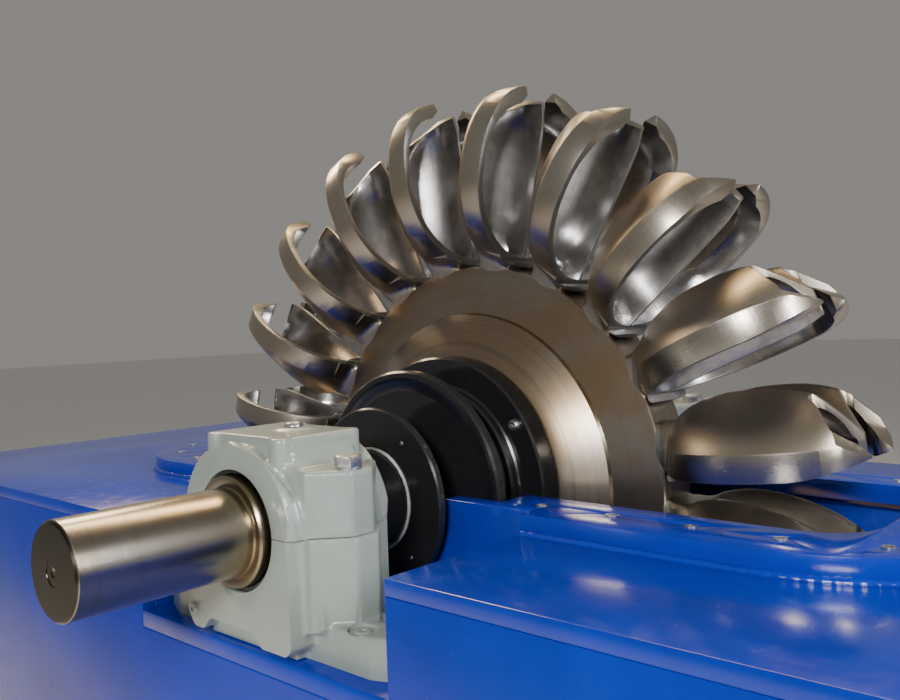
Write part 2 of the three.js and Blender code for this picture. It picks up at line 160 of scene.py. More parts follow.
def ball(name, radius, centre):
    deselect()
    bpy.ops.mesh.primitive_uv_sphere_add(segments=24, ring_count=12, radius=radius, location=centre)
    return named(name)


class Editing:
    """Edit mode on one piece, with all of it selected at first."""

    def __init__(self, piece):
        self.piece = piece

    def __enter__(self):
        activate(self.piece)
        bpy.ops.object.mode_set(mode="EDIT")
        bpy.ops.mesh.select_mode(type="VERT")
        bpy.ops.mesh.select_all(action="SELECT")
        return self

    def __exit__(self, *problem):
        bpy.ops.object.mode_set(mode="OBJECT")

    def pick(self, kind, test):
        """Selects only the vertices or faces whose place and normal pass the test."""
        bpy.ops.mesh.select_mode(type=kind)
        bpy.ops.mesh.select_all(action="DESELECT")
        shape = bmesh.from_edit_mesh(self.piece.data)
        if kind == "VERT":
            for vertex in shape.verts:
                vertex.select = test(vertex.co, vertex.normal)
        else:
            for face in shape.faces:
                face.select = test(face.calc_center_median(), face.normal)
        shape.select_flush_mode()
        bmesh.update_edit_mesh(self.piece.data)


def extrude(way):
    bpy.ops.mesh.extrude_region_move(TRANSFORM_OT_translate={"value": way})


def face_outwards():
    bpy.ops.mesh.select_all(action="SELECT")
    bpy.ops.mesh.normals_make_consistent(inside=False)


def soften(times):
    bpy.ops.mesh.vertices_smooth(factor=0.5, repeat=times)


def traced(name, points, filled=False):
    """A line drawn by extruding one vertex from point to point, filled as one face where asked."""
    deselect()
    bpy.ops.mesh.primitive_plane_add(size=0.001, location=points[0])
    piece = named(name)
    with Editing(piece):
        bpy.ops.mesh.merge(type="CENTER")
        here = Vector(points[0])
        for point in points[1:]:
            extrude(Vector(point) - here)
            here = Vector(point)
        if filled:
            bpy.ops.mesh.select_all(action="SELECT")
            bpy.ops.mesh.edge_face_add()
    return piece


def pushed(name, points, way):
    """A flat outline pushed along a vector into a solid."""
    piece = traced(name, points, filled=True)
    with Editing(piece):
        extrude(way)
        face_outwards()
    return piece


def raised(name, outline, low, high):
    """A solid between two heights, from an outline in X and Y."""
    return pushed(name, [(x, y, low) for x, y in outline], (0, 0, high - low))


def wedge(name, outline, start, end):
    """A solid between two places along Y, from an outline in X and Z."""
    return pushed(name, [(x, start, z) for x, z in outline], (0, end - start, 0))


def turned(name, pairs, steps=128):
    """A smooth body turned about the shaft's axis, from radii and places along it."""
    piece = traced(name, [(radius, y, AXIS) for radius, y in pairs])
    with Editing(piece):
        bpy.ops.mesh.spin(steps=steps, angle=FULL_TURN, center=(0, 0, AXIS), axis=(0, 1, 0))
        bpy.ops.mesh.select_all(action="SELECT")
        bpy.ops.mesh.remove_doubles(threshold=1e-5)
        face_outwards()
    return smooth(piece, 30)


def modified(piece, kind, **settings):
    modifier = piece.modifiers.new(kind.lower(), kind)
    for name, value in settings.items():
        setattr(modifier, name, value)
    activate(piece)
    bpy.ops.object.modifier_apply(modifier=modifier.name)


def cut(piece, tool, operation="DIFFERENCE"):
    modified(piece, "BOOLEAN", object=tool, operation=operation, solver="EXACT")
    bpy.data.objects.remove(tool)


def joined(name, pieces):
    deselect()
    for piece in pieces:
        piece.select_set(True)
    bpy.context.view_layer.objects.active = pieces[0]
    bpy.ops.object.join()
    pieces[0].name = pieces[0].data.name = name
    return pieces[0]


def rounded(piece, width, degrees):
    """Rounds the edges that are sharper than an angle."""
    modified(
        piece, "BEVEL", width=width, segments=2, limit_method="ANGLE",
        angle_limit=math.radians(degrees), use_clamp_overlap=True)


def smooth(piece, degrees):
    activate(piece)
    bpy.ops.object.shade_smooth_by_angle(angle=math.radians(degrees))
    return piece


def poured(piece, passes, keep):
    """Lumps that overlap become one casting with soft inner corners."""
    modified(piece, "REMESH", mode="VOXEL", voxel_size=0.003)
    modified(piece, "SMOOTH", factor=0.5, iterations=passes)
    modified(piece, "DECIMATE", ratio=keep)


def sliced(piece, point, normal):
    """Cuts off what lies beyond a plane, on the side its normal points to, and closes the cut."""
    with Editing(piece):
        bpy.ops.mesh.bisect(plane_co=point, plane_no=normal, use_fill=True, clear_outer=True)
    return piece


def copied(source, name, matrix):
    """A copy with a mesh of its own, moved by a matrix."""
    piece = source.copy()
    piece.data = source.data.copy()
    piece.name = piece.data.name = name
    bpy.context.scene.collection.objects.link(piece)
    piece.data.transform(matrix)
    if matrix.determinant() < 0:
        piece.data.flip_normals()
    return piece


def fitted(piece, body, finish, slot, *nodes):
    """Gives a piece its finish and the body it rides on, and hides the nodes that it stands for."""
    piece.data.materials.clear()
    piece.data.materials.append(finish)
    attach(piece, body)
    if nodes:
        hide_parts(*nodes)


def arc(centre_x, centre_y, radius, first, last, steps):
    """Points in X and Y round a centre, from one angle to another in degrees."""
    angles = [math.radians(first + (last - first) * i / steps) for i in range(steps + 1)]
    return [(centre_x + radius * math.cos(a), centre_y + radius * math.sin(a)) for a in angles]


def mirrored(half):
    """An outline from its half with positive Y, closed by the other half."""
    return half + [(x, -y) for x, y in reversed(half)]


# Finishes


class Signal:
    """A value or colour that varies over a surface. Arithmetic on it adds Math nodes."""

    def __init__(self, finish, socket):
        self.finish, self.socket = finish, socket

    def maths(self, operation, first, second):
        return self.finish.node("ShaderNodeMath", {"operation": operation}, {0: first, 1: second})

    def __add__(self, other):
        return self.maths("ADD", self, other)

    __radd__ = __add__

    def __sub__(self, other):
        return self.maths("SUBTRACT", self, other)

    def __rsub__(self, other):
        return self.maths("SUBTRACT", other, self)

    def __mul__(self, other):
        return self.maths("MULTIPLY", self, other)

    __rmul__ = __mul__

    def __pow__(self, other):
        return self.maths("POWER", self, other)

    def within(self, low, high):
        """0 at and below low, 1 at and above high, smooth between. With low above high it falls."""
        return self.finish.node(
            "ShaderNodeMapRange", {"interpolation_type": "SMOOTHSTEP"},
            {"Value": self, "From Min": low, "From Max": high})


class Finish:
    """A material made of nodes round one shader."""

    def __init__(self, name, **constants):
        self.material = bpy.data.materials.new(name)
        self.material.use_nodes = True
        self.tree = self.material.node_tree
        self.shader = self.tree.nodes["Principled BSDF"]
        for socket, value in constants.items():
            self.shader.inputs[socket.replace("_", " ")].default_value = value

    def feed(self, socket, value):
        if isinstance(value, Signal):
            self.tree.links.new(value.socket, socket)
        elif value is not None:
            socket.default_value = value

    def node(self, kind, settings, inputs, output=0):
        made = self.tree.nodes.new(kind)
        for name, value in settings.items():
            setattr(made, name, value)
        for key, value in inputs.items():
            self.feed(made.inputs[key], value)
        return Signal(self, made.outputs[output])

    def place(self):
        """Where a point lies on the object."""
        return self.node("ShaderNodeTexCoord", {}, {}, "Object")

    def own(self, name):
        """A piece's own attribute."""
        return self.node("ShaderNodeAttribute", {"attribute_name": name}, {}, "Vector")

    def parts(self, vector):
        split = self.tree.nodes.new("ShaderNodeSeparateXYZ")
        self.feed(split.inputs[0], vector)
        return [Signal(self, socket) for socket in split.outputs]

    def point(self, x, y, z):
        return self.node("ShaderNodeCombineXYZ", {}, {0: x, 1: y, 2: z})

    def scaled(self, vector, scale):
        return self.node("ShaderNodeMapping", {}, {"Vector": vector, "Scale": scale})

    def noise(self, vector, scale, detail=3.0, roughness=0.5):
        return self.node(
            "ShaderNodeTexNoise", {},
            {"Vector": vector, "Scale": scale, "Detail": detail, "Roughness": roughness}, "Fac")

    def rings(self, out, along, count, detail):
        """Noise in rings round the shaft's axis, about this many to the metre."""
        return self.noise(self.point(out * count, along * count, 0.0), 1.0, detail, 0.6)

    def radius(self, x, z):
        """Distance from the shaft's axis."""
        up = z - AXIS
        return (x * x + up * up) ** 0.5

    def mixed(self, share, first, second):
        return self.node(
            "ShaderNodeMix", {"data_type": "RGBA"}, {0: share, 6: first, 7: second}, 2)

    def bumped(self, height, strength, distance, under=None):
        return self.node(
            "ShaderNodeBump", {},
            {"Strength": strength, "Distance": distance, "Height": height, "Normal": under},
            "Normal")

    def done(self, **signals):
        for name, signal in signals.items():
            self.feed(self.shader.inputs[name.replace("_", " ")], signal)
        return self.material


def colour(red, green, blue):
    return (red, green, blue, 1.0)


def bucket_steel():
    """Cast stainless steel, ground by hand: silver in the cups, grey on the rim, and tinted warm
    outside as a painted warm reflection.
    """
    # The sand and warm colours of the backs are a painted warm reflection.
    sand, warm_reflection_brown = colour(0.38, 0.35, 0.30), colour(0.42, 0.34, 0.24)
    bright, grey = colour(0.52, 0.51, 0.51), colour(0.34, 0.33, 0.32)
    band_grey, rim_grey = colour(0.40, 0.37, 0.33), colour(0.30, 0.30, 0.29)
    milled_grey, shadow = colour(0.33, 0.32, 0.31), colour(0.28, 0.26, 0.23)
    steel = Finish("bucket_steel", Metallic=1.0)
    where = steel.own("bucket_place")
    _, y, z = steel.parts(where)
    inside, milled, _ = steel.parts(steel.own("bucket_zones"))
    world = steel.place()
    across, _, _ = steel.parts(world)
    cloud = steel.noise(world, scale=5.0)
    long_grain = steel.scaled(where, (14.0, 90.0, 90.0))
    fine = steel.noise(long_grain, scale=4.0, detail=4.0, roughness=0.6)
    blotch = steel.noise(where, scale=22.0, detail=4.0, roughness=0.65)
    striations = steel.noise(steel.point(across * 420.0, y * 2.0, 0.0), scale=1.0, detail=2.0)
    scratches = steel.noise(steel.scaled(where, (60.0, 300.0, 300.0)), scale=3.0)
    dents = steel.noise(where, scale=12.0, detail=2.0)
    rim = z.within(0.0012, 0.0002)
    band = z.within(BAND + 0.0004, BAND - 0.0004) * (1.0 - inside)
    back = steel.mixed(cloud.within(0.3, 0.7), sand, warm_reflection_brown)
    back = steel.mixed(blotch.within(0.45, 0.75) * 0.5, back, shadow)
    silver = steel.mixed(blotch.within(0.35, 0.7), bright, grey)
    # Painted warm reflection on the backs, silver steel in the cups.
    tint = steel.mixed(inside, back, silver)
    tint = steel.mixed(band * 0.5, tint, band_grey)
    tint = steel.mixed(rim, tint, rim_grey)
    tint = steel.mixed(milled * 0.6, tint, milled_grey)
    rough = 0.29 + fine * 0.10 + blotch * 0.08
    rough = rough + rim * 0.12 - inside * 0.14 - band * 0.09 + milled * 0.06
    normal = steel.bumped(dents, strength=0.10, distance=0.004)
    normal = steel.bumped(fine, strength=0.08, distance=0.0008, under=normal)
    normal = steel.bumped(scratches, strength=rim * 0.5, distance=0.001, under=normal)
    normal = steel.bumped(striations, strength=milled * 0.6, distance=0.0016, under=normal)
    return steel.done(Base_Color=tint, Roughness=rough, Normal=normal)


def hub_steel():
    """Steel turned on a lathe: fine rings round the shaft's axis, patches of oil, and a warm tint
    that is a painted warm reflection.
    """
    warm_reflection_gold, grey = colour(0.30, 0.22, 0.14), colour(0.30, 0.26, 0.22)
    dark_ring, oil = colour(0.17, 0.14, 0.11), colour(0.30, 0.22, 0.13)
    steel = Finish("hub_steel", Metallic=1.0)
    world = steel.place()
    x, y, z = steel.parts(world)
    out = steel.radius(x, z)
    rings = steel.rings(out, y, count=1300.0, detail=2.0)
    bands = steel.rings(out, y, count=90.0, detail=3.0)
    cloud = steel.noise(world, scale=7.0, detail=4.0, roughness=0.6)
    stain = steel.noise(world, scale=24.0, detail=4.0, roughness=0.7)
    # The warm tint is a painted warm reflection.
    tint = steel.mixed(cloud.within(0.35, 0.65), warm_reflection_gold, grey)
    tint = steel.mixed(bands.within(0.50, 0.72) * 0.5, tint, dark_ring)
    tint = steel.mixed(stain.within(0.55, 0.75) * 0.35, tint, oil)
    rough = 0.22 + rings * 0.08 + cloud * 0.08
    normal = steel.bumped(bands, strength=0.10, distance=0.0012)
    normal = steel.bumped(rings, strength=0.16, distance=0.0005, under=normal)
    return steel.done(Base_Color=tint, Roughness=rough, Normal=normal)


def shaft_steel():
    """Turned steel tinted warm as a painted warm reflection, its end faces painted dark as a
    painted dark reflection, and black enamel on its middle.
    """
    warm_reflection_gold, grey = colour(0.30, 0.24, 0.15), colour(0.28, 0.26, 0.23)
    streak, end_face_painted_dark_reflection = colour(0.22, 0.18, 0.13), colour(0.035, 0.031, 0.024)
    black = colour(0.010, 0.010, 0.012)
    steel = Finish("shaft_steel")
    world = steel.place()
    x, y, z = steel.parts(world)
    out = steel.radius(x, z)
    along = (y * y) ** 0.5
    rings = steel.rings(out, y, count=1600.0, detail=2.0)
    streaks = steel.rings(out, y, count=70.0, detail=3.0)
    cloud = steel.noise(world, scale=12.0, detail=4.0, roughness=0.6)
    painted = along.within(ENAMEL_END, ENAMEL_END - 0.0005)
    # The warm tint is a painted warm reflection.
    tint = steel.mixed(cloud.within(0.35, 0.65), warm_reflection_gold, grey)
    tint = steel.mixed(streaks.within(0.5, 0.75) * 0.4, tint, streak)
    # The end faces are painted dark as a painted dark reflection.
    tint = steel.mixed(along.within(SHAFT_END - 0.003, SHAFT_END - 0.002) * 0.92, tint, end_face_painted_dark_reflection)
    tint = steel.mixed(painted, tint, black)
    rough = 0.17 + rings * 0.07 + cloud * 0.05 - painted * 0.07
    normal = steel.bumped(rings, strength=0.10, distance=0.0004)
    return steel.done(Base_Color=tint, Roughness=rough, Metallic=1.0 - painted, Normal=normal)


def enamel(name, light, dark, rough, peel):
    """Gloss paint with slight orange peel, a little duller where dust has settled."""
    paint = Finish(name, Coat_Roughness=0.06, Coat_Weight=0.15)
    world = paint.place()
    cloud = paint.noise(world, scale=3.5, detail=4.0, roughness=0.6)
    dust = paint.noise(world, scale=40.0, detail=4.0, roughness=0.7)
    skin = paint.noise(world, scale=260.0, detail=2.0)
    tint = paint.mixed(cloud.within(0.3, 0.7), light, dark)
    shine = rough + dust.within(0.45, 0.75) * 0.10 + cloud * 0.05
    normal = paint.bumped(skin, strength=peel, distance=0.0006)
    return paint.done(Base_Color=tint, Roughness=shine, Normal=normal)


def cast_enamel():
    """Pale grey-green gloss paint over sand-cast iron."""
    pale, deep = colour(0.29, 0.335, 0.30), colour(0.26, 0.295, 0.265)
    stained = colour(0.30, 0.29, 0.23)
    paint = Finish("grey_green_paint", Coat_Roughness=0.08, Coat_Weight=0.4)
    world = paint.place()
    cloud = paint.noise(world, scale=8.0, detail=4.0, roughness=0.6)
    sand = paint.noise(world, scale=170.0, detail=4.0, roughness=0.65)
    swell = paint.noise(world, scale=28.0, detail=2.0)
    stain = paint.noise(world, scale=17.0, detail=5.0, roughness=0.7)
    tint = paint.mixed(cloud.within(0.3, 0.7), pale, deep)
    tint = paint.mixed(stain.within(0.60, 0.78) * 0.35, tint, stained)
    shine = 0.26 + sand.within(0.4, 0.7) * 0.10 + cloud * 0.05
    normal = paint.bumped(swell, strength=0.25, distance=0.003)
    normal = paint.bumped(sand, strength=0.28, distance=0.0012, under=normal)
    return paint.done(Base_Color=tint, Roughness=shine, Normal=normal)


def zinc():
    """Bright plating on bolts and screws."""
    bright, dull = colour(0.66, 0.66, 0.66), colour(0.42, 0.41, 0.40)
    metal = Finish("bright_steel", Metallic=1.0)
    speck = metal.noise(metal.place(), scale=160.0, detail=4.0, roughness=0.7)
    tint = metal.mixed(speck.within(0.35, 0.7), bright, dull)
    normal = metal.bumped(speck, strength=0.2, distance=0.0008)
    return metal.done(Base_Color=tint, Roughness=0.22 + speck * 0.25, Normal=normal)


def sealant():
    """White sealing paste."""
    pale, grey = colour(0.66, 0.67, 0.66), colour(0.46, 0.47, 0.48)
    paste = Finish("sealant")
    lumps = paste.noise(paste.place(), scale=130.0)
    tint = paste.mixed(lumps.within(0.3, 0.7), pale, grey)
    normal = paste.bumped(lumps, strength=0.5, distance=0.001)
    return paste.done(Base_Color=tint, Roughness=0.45 + lumps * 0.2, Normal=normal)


BUCKET_STEEL = bucket_steel()
HUB_STEEL = hub_steel()
SHAFT_STEEL = shaft_steel()
BLUE = enamel(
    "blue_paint", colour(0.0, 0.030, 0.42), colour(0.0, 0.018, 0.30), rough=0.16, peel=0.10)
BLACK = enamel(
    "black_paint", colour(0.008, 0.008, 0.009), colour(0.012, 0.012, 0.014), rough=0.18, peel=0.08)
GREEN = cast_enamel()
ZINC = zinc()
SEALANT = sealant()


# One bucket: X out from the shaft's axis, Y along the shaft, Z from the jet's side to the back


def rim_outline(inset, middle, arc_steps, middle_steps):
    """Half of a bucket's rim: from the tip round the outside to the root, then back to the tip."""
    points = []
    for i in range(arc_steps + 1):
        angle = math.pi * i / arc_steps
        reach, squareness = (RIM_TO_TIP, 2.4) if math.cos(angle) >= 0 else (RIM_TO_ROOT, 2.0)
        power = 2 / squareness
        x = math.copysign((reach - inset) * abs(math.cos(angle)) ** power, math.cos(angle))
        y = (RIM_HALF_WIDTH - inset) * math.sin(angle) ** power if i < arc_steps else 0.0
        points.append((RIM_CENTRE + x, max(y, middle)))
    tip, root = points[0][0], points[-1][0]
    for i in range(1, middle_steps):
        points.append((root + (tip - root) * i / middle_steps, middle))
    return points


def bowl(name, inset, middle, mouth, band, band_share, depth, across, softening):
    """A bowl drawn ring by ring: straight to the edge of the band, then rounded off to its bottom.

    Along the bucket it rounds like an ellipse, and across it by the two powers, more like a roof.
    """
    layers, lengthwise = 14, 2.45
    outline = rim_outline(inset, middle, arc_steps=48, middle_steps=18)
    piece = traced(name, [(x, y, mouth) for x, y in outline], filled=True)
    rings = [(band, *band_share)]
    for i in range(1, layers):
        rise = math.sin(math.pi / 2 * i / layers)
        rings.append((
            band + (depth - band) * rise,
            band_share[0] * (1 - rise ** lengthwise) ** 0.5,
            band_share[1] * (1 - rise ** across[0]) ** across[1]))
    height, long, wide = mouth, 1.0, 1.0
    with Editing(piece):
        for next_height, next_long, next_wide in rings:
            extrude((0, 0, next_height - height))
            bpy.ops.transform.resize(
                value=(next_long / long, next_wide / wide, 1),
                center_override=(*BOWL_CENTRE, next_height))
            height, long, wide = next_height, next_long, next_wide
        extrude((0, 0, depth - height))
        bpy.ops.mesh.merge(type="CENTER")
    with Editing(piece) as edit:
        edit.pick("VERT", lambda place, _: place.z > band + 0.001)
        soften(softening)
        face_outwards()
    return piece


def other_side(piece, name):
    """The same piece mirrored across the bucket's middle."""
    return copied(piece, name, Matrix.Scale(-1, 4, (0, 1, 0)))


def stem():
    """The root of a bucket, from its wide foot on the disc out to the backs of the cups."""
    inner, outer = 0.336, 0.440
    piece = block("stem", (inner, -0.038, 0.002), (outer, 0.038, 0.070))
    with Editing(piece) as edit:
        edit.pick("FACE", lambda _, normal: normal.x > 0.9)
        bpy.ops.transform.resize(value=(1, 1.55, 1.05), center_override=(outer, 0, 0.036))
        bpy.ops.transform.translate(value=(0, 0, 0.008))
        edit.pick("FACE", lambda _, normal: normal.x < -0.9)
        extrude((STEM_FOOT - inner, 0, -0.004))
        bpy.ops.transform.resize(value=(1, 1, 1.34), center_override=(STEM_FOOT, 0, 0.032))
        extrude((-0.020, 0, 0))
    return piece


def notch():
    """The gap at the lip: narrow at its mouth, and wider behind two hooked fingers."""
    fingers = [
        (0.66, 0.036), (0.603, 0.036), (0.595, 0.047), (0.586, 0.056), (0.577, 0.061),
        (0.568, 0.0628)]
    pocket = [
        (0.5605, 0.0605), (0.5560, 0.055), (0.5575, 0.046), (0.566, 0.033), (0.577, 0.021),
        (0.588, 0.0105)]
    splitter_tip = (0.599, 0.0022)
    return raised("notch", mirrored(fingers + pocket + [splitter_tip]), -0.02, 0.14)


def finger_room():
    """What was cut off behind one finger: the back ends on a slant, and the finger stays low."""
    slant = [(0.575, 0.045), (0.566, 0.060), (0.602, 0.096), (0.624, 0.110)]
    outline = [(0.600, 0.030), *slant, (0.70, 0.110), (0.70, 0.030)]
    piece = raised("finger_room", outline, -0.08, 0.17)
    finger_top, below = (0.600, 0, 0.034), (-0.67, 0, -0.74)
    return sliced(piece, finger_top, below)


def lip_curve():
    """What lies in front of the lip, where the rim curves back towards the tip."""
    curve = [
        (0.548, 0.0), (0.566, 0.0012), (0.582, 0.0038), (0.597, 0.0078), (0.610, 0.0125),
        (0.64, 0.026)]
    return wedge("lip", [(0.548, -0.03), *curve, (0.66, 0.04), (0.66, -0.03)], -0.16, 0.16)


def trim_outline():
    """The rim's outline seen from the jet, opened at the root to let the stem through."""
    steps, root_end, foot_end = 60, 0.45, 0.29
    rim = rim_outline(0, 0.0, steps, 2)[:steps + 1]
    half = [(x, y) for x, y in rim if x > root_end or y > STEM_ROOM] + [(foot_end, STEM_ROOM)]
    return half + [(x, -y) for x, y in reversed(half[1:])]


def marked(piece):
    """Keeps each point's place on the bucket, and marks the faces in the cups or milled flat."""
    cup_root, milled_end, milled_half, sideways = 0.346, 0.395, 0.06, 0.93
    mesh = piece.data
    own = mesh.attributes.new("bucket_place", "FLOAT_VECTOR", "POINT")
    for i, vertex in enumerate(mesh.vertices):
        own.data[i].vector = vertex.co
    zones = mesh.attributes.new("bucket_zones", "FLOAT_VECTOR", "FACE")
    for i, face in enumerate(mesh.polygons):
        place, normal = face.center, face.normal
        centre = Vector((BOWL_CENTRE[0], math.copysign(BOWL_CENTRE[1], place.y), 0.03))
        inside = normal.dot(centre - place) > 0 and place.x > cup_root
        by_stem = place.x < milled_end and abs(place.y) < milled_half
        milled = not inside and by_stem and abs(normal.y) > sideways
        zones.data[i].vector = (float(inside), float(milled), 0.0)


def bucket():
    """The pattern of all buckets: backs and stem cast in one, then hollowed and trimmed."""
    stem_end, cup_start, cup_middle = 0.375, 0.352, 0.51
    near = bowl(
        "back", inset=-0.006, middle=-0.012, mouth=-0.012, band=BAND - 0.004,
        band_share=(0.955, 0.985), depth=BACK_DEPTH, across=(1.3, 1.0), softening=4)
    body = joined("bucket", [near, other_side(near, "back_far"), stem()])
    poured(body, passes=3, keep=0.4)
    with Editing(body) as edit:
        edit.pick("VERT", lambda place, _: place.x < stem_end)
        soften(14)
    cut(body, block("jet_side", (cup_start, -0.3, -0.2), (0.8, 0.3, 0.0)))
    sliced(body, (STEM_FOOT + 0.0005, 0, 0), (-1, 0, 0))
    cut(body, raised("outline", trim_outline(), -0.05, 0.15), "INTERSECT")
    cup = bowl(
        "cup", inset=RIM_WALL, middle=0.0022, mouth=-0.03, band=BAND,
        band_share=(0.955, 0.975), depth=CUP_DEPTH, across=(1.6, 0.95), softening=7)
    with Editing(cup) as edit:
        edit.pick("VERT", lambda place, _: place.x > cup_middle)
        bpy.ops.transform.resize(value=(0.88, 1, 1), center_override=(cup_middle, 0, 0))
    far_cup = other_side(cup, "cup_far")
    room = finger_room()
    far_room = other_side(room, "far_finger_room")
    for tool in (cup, far_cup, notch(), lip_curve(), room, far_room):
        cut(body, tool)
    tip_corner, beyond = (0.613, 0, 0.023), (0.80, 0, 0.60)
    sliced(body, tip_corner, beyond)
    rounded(body, width=0.0011, degrees=58)
    smooth(body, 24)
    marked(body)
    return body


def wheel():
    pattern = bucket()
    for i in range(BUCKETS):
        turn = Matrix.Rotation(-FIRST_BUCKET - BUCKET_STEP * i, 4, "Y")
        number = f"{i + 1:02d}"
        made = copied(pattern, f"cast_bucket_{number}", Matrix.Translation((0, 0, AXIS)) @ turn)
        fitted(made, "runner", BUCKET_STEEL, "ground_steel", f"bucket_{number}")
    bpy.data.objects.remove(pattern)


# Disc, shaft and the rings on the shaft


def both_ends_of(half):
    """A turned profile from its far half, repeated on the near side."""
    return [(radius, -y) for radius, y in reversed(half)] + half


def closed(profile):
    return profile + profile[:1]


def disc():
    bore = 0.080
    profile = both_ends_of([
        (DISC_RADIUS - 0.0005, DISC_FACE_Y - 0.013),
        (DISC_RADIUS - 0.0005, DISC_FACE_Y - 0.002),
        (DISC_RADIUS - 0.0025, DISC_FACE_Y),
        (HUB_STEP_RADIUS + 0.0012, HUB_STEP_Y - 0.004),
        (HUB_STEP_RADIUS, HUB_STEP_Y - 0.0015),
        (HUB_STEP_RADIUS - 0.0015, HUB_STEP_Y + 0.0015),
        (HUB_STEP_RADIUS - 0.020, HUB_STEP_Y + 0.0135),
        (HUB_FACE_RADIUS + 0.016, HUB_FACE - 0.0075),
        (HUB_FACE_RADIUS + 0.003, HUB_FACE - 0.0008),
        (HUB_FACE_RADIUS, HUB_FACE),
        (bore, HUB_FACE),
    ])
    piece = turned("hub_disc", closed(profile), steps=160)
    fitted(piece, "runner", HUB_STEEL, "ground_steel", "runner_disc")


def shaft():
    edge = 0.0025
    piece = turned("turned_shaft", both_ends_of([
        (JOURNAL_RADIUS, 0.16),
        (JOURNAL_RADIUS, JOURNAL_END - edge),
        (JOURNAL_RADIUS - edge, JOURNAL_END),
        (EXTENSION_RADIUS + 0.006, JOURNAL_END),
        (EXTENSION_RADIUS + 0.0015, JOURNAL_END - 0.0015),
        (EXTENSION_RADIUS, JOURNAL_END + 0.001),
        (EXTENSION_RADIUS, SHAFT_END - 0.012),
        (EXTENSION_RADIUS, SHAFT_END - 0.0035),
        (EXTENSION_RADIUS - 0.0035, SHAFT_END),
        (0.016, SHAFT_END),
        (0.0155, SHAFT_END - 0.0008),
        (0.0065, SHAFT_END - 0.0008),
        (0.0, SHAFT_END - 0.007),
    ]))
    fitted(piece, "runner", SHAFT_STEEL, "polished_steel", "shaft")


def both_ends(piece, name):
    """The piece on the near side, and the same piece turned round for the far side."""
    far = copied(piece, name + "_far", Matrix.Rotation(math.pi, 4, "Z"))
    piece.name = piece.data.name = name + "_near"
    return (("near", piece), ("far", far))


def black_rings(name, profile, node):
    """A black ring turned for the near side, and the same ring on the far side."""
    for side, made in both_ends(turned(name, closed(profile)), name):
        fitted(made, "runner", BLACK, "black_paint", f"{node}_{side}")


def screw_head(name, radius, height, at, way, recess=True):
    """A round domed head standing on a face, with a hexagon recess where wanted."""
    at, way = Vector(at), Vector(way)
    head = rod(name, radius, at, at + way * height, 32, radius * 0.72)
    if recess:
        floor, above = at + way * height * 0.35, at + way * height * 1.5
        cut(head, rod("key", radius * 0.34, floor, above, 6))
    rounded(head, width=radius * 0.10, degrees=30)
    return smooth(head, 30)


def screws_round_shaft(name, circle, y, places, radius, height, recess):
    """Heads at angles in degrees round the shaft, on the outer faces of both rings of a pair."""
    for side, way in SIDES:
        for number, degrees in enumerate(places, 1):
            angle = math.radians(degrees)
            at = (circle * math.cos(angle), way * y, AXIS + circle * math.sin(angle))
            head = screw_head(f"{name}_{side}_{number}", radius, height, at, (0, way, 0), recess)
            fitted(head, "runner", ZINC, "polished_steel")


def clamp_flanges():
    face, back, end = -HUB_FACE - 0.0003, -HUB_FACE - CLAMP_THICKNESS, -COLLAR_END
    bore = 0.085
    black_rings("clamp_ring", [
        (CLAMP_RADIUS - 0.0015, face),
        (CLAMP_RADIUS, face - 0.0015),
        (CLAMP_RADIUS, back + 0.003),
        (CLAMP_RADIUS - 0.003, back),
        (COLLAR_RADIUS + 0.016, back),
        (COLLAR_RADIUS + 0.013, back - 0.002),
        (COLLAR_RADIUS + 0.013, back - 0.012),
        (COLLAR_RADIUS + 0.010, back - 0.015),
        (COLLAR_RADIUS + 0.002, back - 0.015),
        (COLLAR_RADIUS, back - 0.018),
        (COLLAR_RADIUS, end + 0.002),
        (COLLAR_RADIUS - 0.002, end),
        (bore, end),
        (bore, face),
    ], "clamp_flange")
    screws_round_shaft(
        "clamp_bolt", CLAMP_BOLT_CIRCLE, -back, (33.6, 123.6, 213.6, 303.6),
        radius=0.0095, height=0.009, recess=True)


def slingers():
    inner, outer = -SLINGER_Y[0], -SLINGER_Y[1]
    bore = 0.078
    black_rings("slinger_ring", [
        (SLINGER_RADIUS - 0.002, inner),
        (SLINGER_RADIUS, inner - 0.002),
        (SLINGER_RADIUS, outer + 0.003),
        (SLINGER_RADIUS - 0.003, outer),
        (SLINGER_RADIUS - 0.010, outer),
        (SLINGER_RADIUS - 0.016, outer + 0.004),
        (SLINGER_RADIUS - 0.030, outer + 0.0062),
        (bore + 0.072, outer + 0.0070),
        (bore + 0.022, outer + 0.0070),
        (bore + 0.014, outer + 0.0040),
        (bore, outer + 0.0040),
        (bore, inner),
    ], "slinger")


def seal_discs():
    inner, outer = -SEAL_Y[0], -SEAL_Y[1]
    bore = JOURNAL_RADIUS + 0.001
    black_rings("seal_ring", [
        (SEAL_RADIUS - 0.0015, inner),
        (SEAL_RADIUS, inner - 0.0015),
        (SEAL_RADIUS, outer + 0.0025),
        (SEAL_RADIUS - 0.0025, outer),
        (bore, outer),
        (bore, inner),
    ], "seal_disc")
    screws_round_shaft(
        "seal_screw", SEAL_SCREW_CIRCLE, -outer, (54, -46, 134, -126),
        radius=0.0035, height=0.0015, recess=False)
    sealant_beads(outer)


def sealant_beads(outer):
    """A hand-laid bead round the shaft where it meets the seal disc."""
    deselect()
    bpy.ops.mesh.primitive_torus_add(
        major_radius=JOURNAL_RADIUS + 0.0022, minor_radius=0.0028, major_segments=120,
        minor_segments=8, location=(0, outer - 0.0006, AXIS), rotation=(math.pi / 2, 0, 0))
    bead = named("sealant_bead")
    with Editing(bead):
        bpy.ops.transform.vertex_random(offset=0.0009, seed=4)
        soften(2)
    smooth(bead, 60)
    for _, made in both_ends(bead, "sealant_bead"):
        fitted(made, "runner", SEALANT, "black_paint")


# Bearing blocks, made with the shaft's axis along Y through the origin and the front towards -Y


